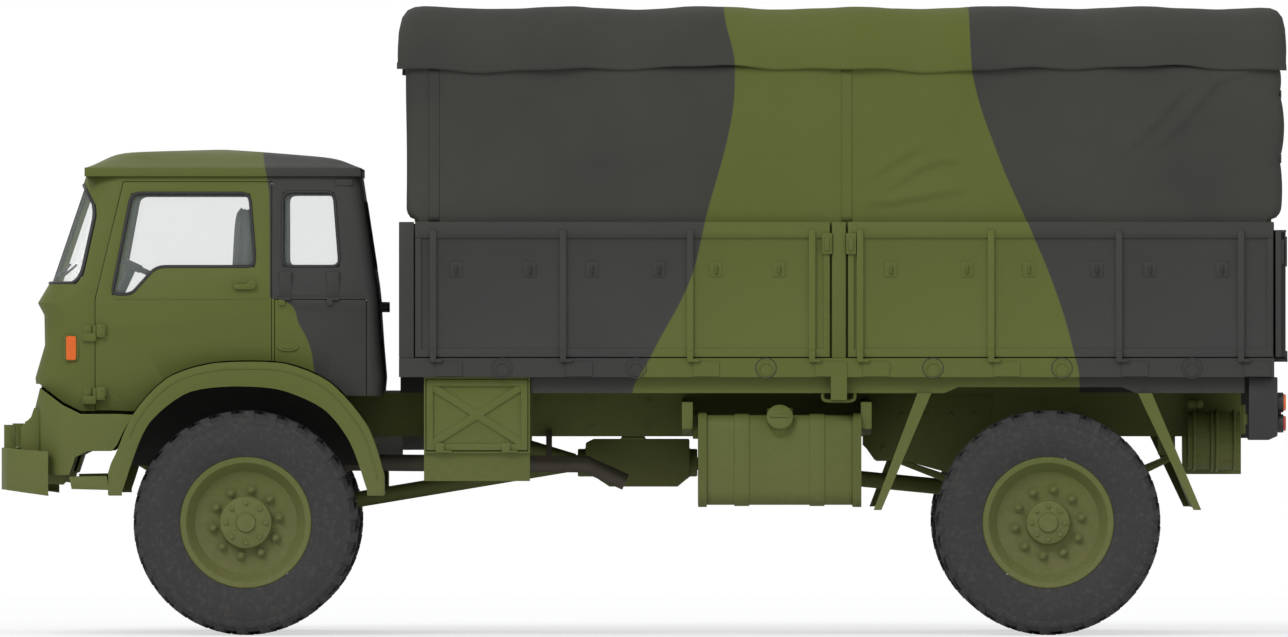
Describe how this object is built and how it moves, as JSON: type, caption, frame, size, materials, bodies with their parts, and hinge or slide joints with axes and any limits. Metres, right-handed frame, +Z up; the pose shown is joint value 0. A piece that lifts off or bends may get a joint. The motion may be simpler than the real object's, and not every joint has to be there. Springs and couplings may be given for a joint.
{
  "type": "military cargo truck",
  "caption": "Forward-control four-wheel-drive cargo truck with a steel cab, drop sides, tailboard and canvas tilt.",
  "frame": {"origin": "on the ground at the middle of the truck's length and width", "axes": "+X to the rear of the truck, +Y to its right-hand side, +Z up"},
  "size_m": [6.44, 2.49, 3.161],
  "materials": {
    "green_paint": "satin",
    "chassis_paint": "satin",
    "tyre": "matte",
    "black_metal": "satin",
    "engine_metal": "matte",
    "exhaust_steel": "matte",
    "glass": "gloss",
    "lamp_lens": "gloss",
    "canvas": "matte",
    "seat_vinyl": "matte",
    "black_plastic": "matte"
  },
  "bodies": {
    "chassis": {"air_reservoirs": "chassis_paint", "body_posts": "green_paint", "cab_floor": "green_paint", "cab_glass": "glass", "cab_roof": "green_paint", "cab_shell": "green_paint", "chassis_frame": "chassis_paint", "dashboard": "black_plastic", "engine_and_gearbox": "engine_metal", "exhaust": "exhaust_steel", "front_axle": "chassis_paint", "front_bumper": "green_paint", "front_mudguards": "green_paint", "front_panel": "green_paint", "fuel_tank": "green_paint", "grille": "black_metal", "headboard": "green_paint", "headlamps": "lamp_lens", "leaf_springs": "chassis_paint", "load_floor": "green_paint", "lockers": "green_paint", "propshafts": "chassis_paint", "rear_axle": "chassis_paint", "rear_lamp_boxes": "black_metal", "rear_splash_plates": "chassis_paint", "seat_backs": "seat_vinyl", "seat_bases": "black_metal", "seat_cushions": "seat_vinyl", "steering_column": "black_metal", "tank_arms": "chassis_paint", "tilt_canopy": "canvas", "tilt_frame": "green_paint", "towing_hook": "chassis_paint", "transfer_box": "chassis_paint"},
    "steer_left": {"knuckle_left": "chassis_paint"},
    "steer_right": {"knuckle_right": "chassis_paint"},
    "track_rod": {"track_rod": "chassis_paint"},
    "wheel_front_left": {"tyre_front_left": "tyre", "wheel_front_left": "green_paint"},
    "wheel_front_right": {"tyre_front_right": "tyre", "wheel_front_right": "green_paint"},
    "wheel_rear_left": {"tyre_rear_left": "tyre", "wheel_rear_left": "green_paint"},
    "wheel_rear_right": {"tyre_rear_right": "tyre", "wheel_rear_right": "green_paint"},
    "steering_wheel": {"steering_wheel": "black_plastic"},
    "door_left": {"door_left": "green_paint", "door_glass_left": "glass"},
    "door_right": {"door_right": "green_paint", "door_glass_right": "glass"},
    "engine_flap_left": {"engine_flap_left": "green_paint"},
    "engine_flap_right": {"engine_flap_right": "green_paint"},
    "drop_side_front_left": {"drop_side_front_left": "green_paint"},
    "drop_side_front_right": {"drop_side_front_right": "green_paint"},
    "drop_side_rear_left": {"drop_side_rear_left": "green_paint"},
    "drop_side_rear_right": {"drop_side_rear_right": "green_paint"},
    "tailboard": {"tailboard": "green_paint"},
    "locker_door_left": {"locker_door_left": "green_paint"},
    "locker_door_right": {"locker_door_right": "green_paint"}
  },
  "joints": [
    {"name": "steer_left", "type": "hinge", "parent": "chassis", "child": "steer_left", "pos_m": [-1.995, -0.79, 0.564], "axis": [0, 0, 1], "range_deg": [-32, 32]},
    {"name": "steer_right", "type": "hinge", "parent": "chassis", "child": "steer_right", "pos_m": [-1.995, 0.79, 0.564], "axis": [0, 0, 1], "range_deg": [-32, 32]},
    {"name": "track_rod_pivot", "type": "hinge", "parent": "steer_left", "child": "track_rod", "pos_m": [-2.245, -0.79, 0.472], "axis": [0, 0, 1], "range_deg": [-33, 33]},
    {"name": "roll_front_left", "type": "hinge", "parent": "steer_left", "child": "wheel_front_left", "pos_m": [-1.995, -1.025, 0.564], "axis": [0, 1, 0], "continuous": true},
    {"name": "roll_rear_left", "type": "hinge", "parent": "chassis", "child": "wheel_rear_left", "pos_m": [2.02, -1.025, 0.564], "axis": [0, 1, 0], "continuous": true},
    {"name": "roll_front_right", "type": "hinge", "parent": "steer_right", "child": "wheel_front_right", "pos_m": [-1.995, 1.025, 0.564], "axis": [0, 1, 0], "continuous": true},
    {"name": "roll_rear_right", "type": "hinge", "parent": "chassis", "child": "wheel_rear_right", "pos_m": [2.02, 1.025, 0.564], "axis": [0, 1, 0], "continuous": true},
    {"name": "steering_wheel_turn", "type": "hinge", "parent": "chassis", "child": "steering_wheel", "pos_m": [-2.595, 0.62, 1.852], "axis": [0.4226, 0, 0.9063], "range_deg": [-581, 581]},
    {"name": "door_left_hinge", "type": "hinge", "parent": "chassis", "child": "door_left", "pos_m": [-2.752, -1.103, 1.512], "axis": [0, 0, -1], "range_deg": [0, 70]},
    {"name": "door_right_hinge", "type": "hinge", "parent": "chassis", "child": "door_right", "pos_m": [-2.752, 1.103, 1.512], "axis": [0, 0, 1], "range_deg": [0, 70]},
    {"name": "engine_flap_left_hinge", "type": "hinge", "parent": "chassis", "child": "engine_flap_left", "pos_m": [-1.625, -1.103, 1.682], "axis": [-1, 0, 0], "range_deg": [0, 80]},
    {"name": "engine_flap_right_hinge", "type": "hinge", "parent": "chassis", "child": "engine_flap_right", "pos_m": [-1.625, 1.103, 1.682], "axis": [1, 0, 0], "range_deg": [0, 80]},
    {"name": "drop_side_front_left_hinge", "type": "hinge", "parent": "chassis", "child": "drop_side_front_left", "pos_m": [-0.1105, -1.238, 1.375], "axis": [-1, 0, 0], "range_deg": [-180, 0]},
    {"name": "drop_side_front_right_hinge", "type": "hinge", "parent": "chassis", "child": "drop_side_front_right", "pos_m": [-0.1105, 1.238, 1.375], "axis": [1, 0, 0], "range_deg": [-180, 0]},
    {"name": "drop_side_rear_left_hinge", "type": "hinge", "parent": "chassis", "child": "drop_side_rear_left", "pos_m": [2.0805, -1.238, 1.375], "axis": [-1, 0, 0], "range_deg": [-180, 0]},
    {"name": "drop_side_rear_right_hinge", "type": "hinge", "parent": "chassis", "child": "drop_side_rear_right", "pos_m": [2.0805, 1.238, 1.375], "axis": [1, 0, 0], "range_deg": [-180, 0]},
    {"name": "tailboard_hinge", "type": "hinge", "parent": "chassis", "child": "tailboard", "pos_m": [3.212, 0, 1.375], "axis": [0, 1, 0], "range_deg": [0, 180]},
    {"name": "locker_door_left_hinge", "type": "hinge", "parent": "chassis", "child": "locker_door_left", "pos_m": [-0.838, -1.198, 0.9197], "axis": [1, 0, 0], "range_deg": [0, 95]},
    {"name": "locker_door_right_hinge", "type": "hinge", "parent": "chassis", "child": "locker_door_right", "pos_m": [-0.838, 1.198, 0.9197], "axis": [-1, 0, 0], "range_deg": [0, 95]}
  ],
  "couplings": [
    {"joint": "steer_right", "follows": "steer_left", "ratio": 1},
    {"joint": "track_rod_pivot", "follows": "steer_left", "ratio": -1},
    {"joint": "steering_wheel_turn", "follows": "steer_left", "ratio": 18}
  ]
}
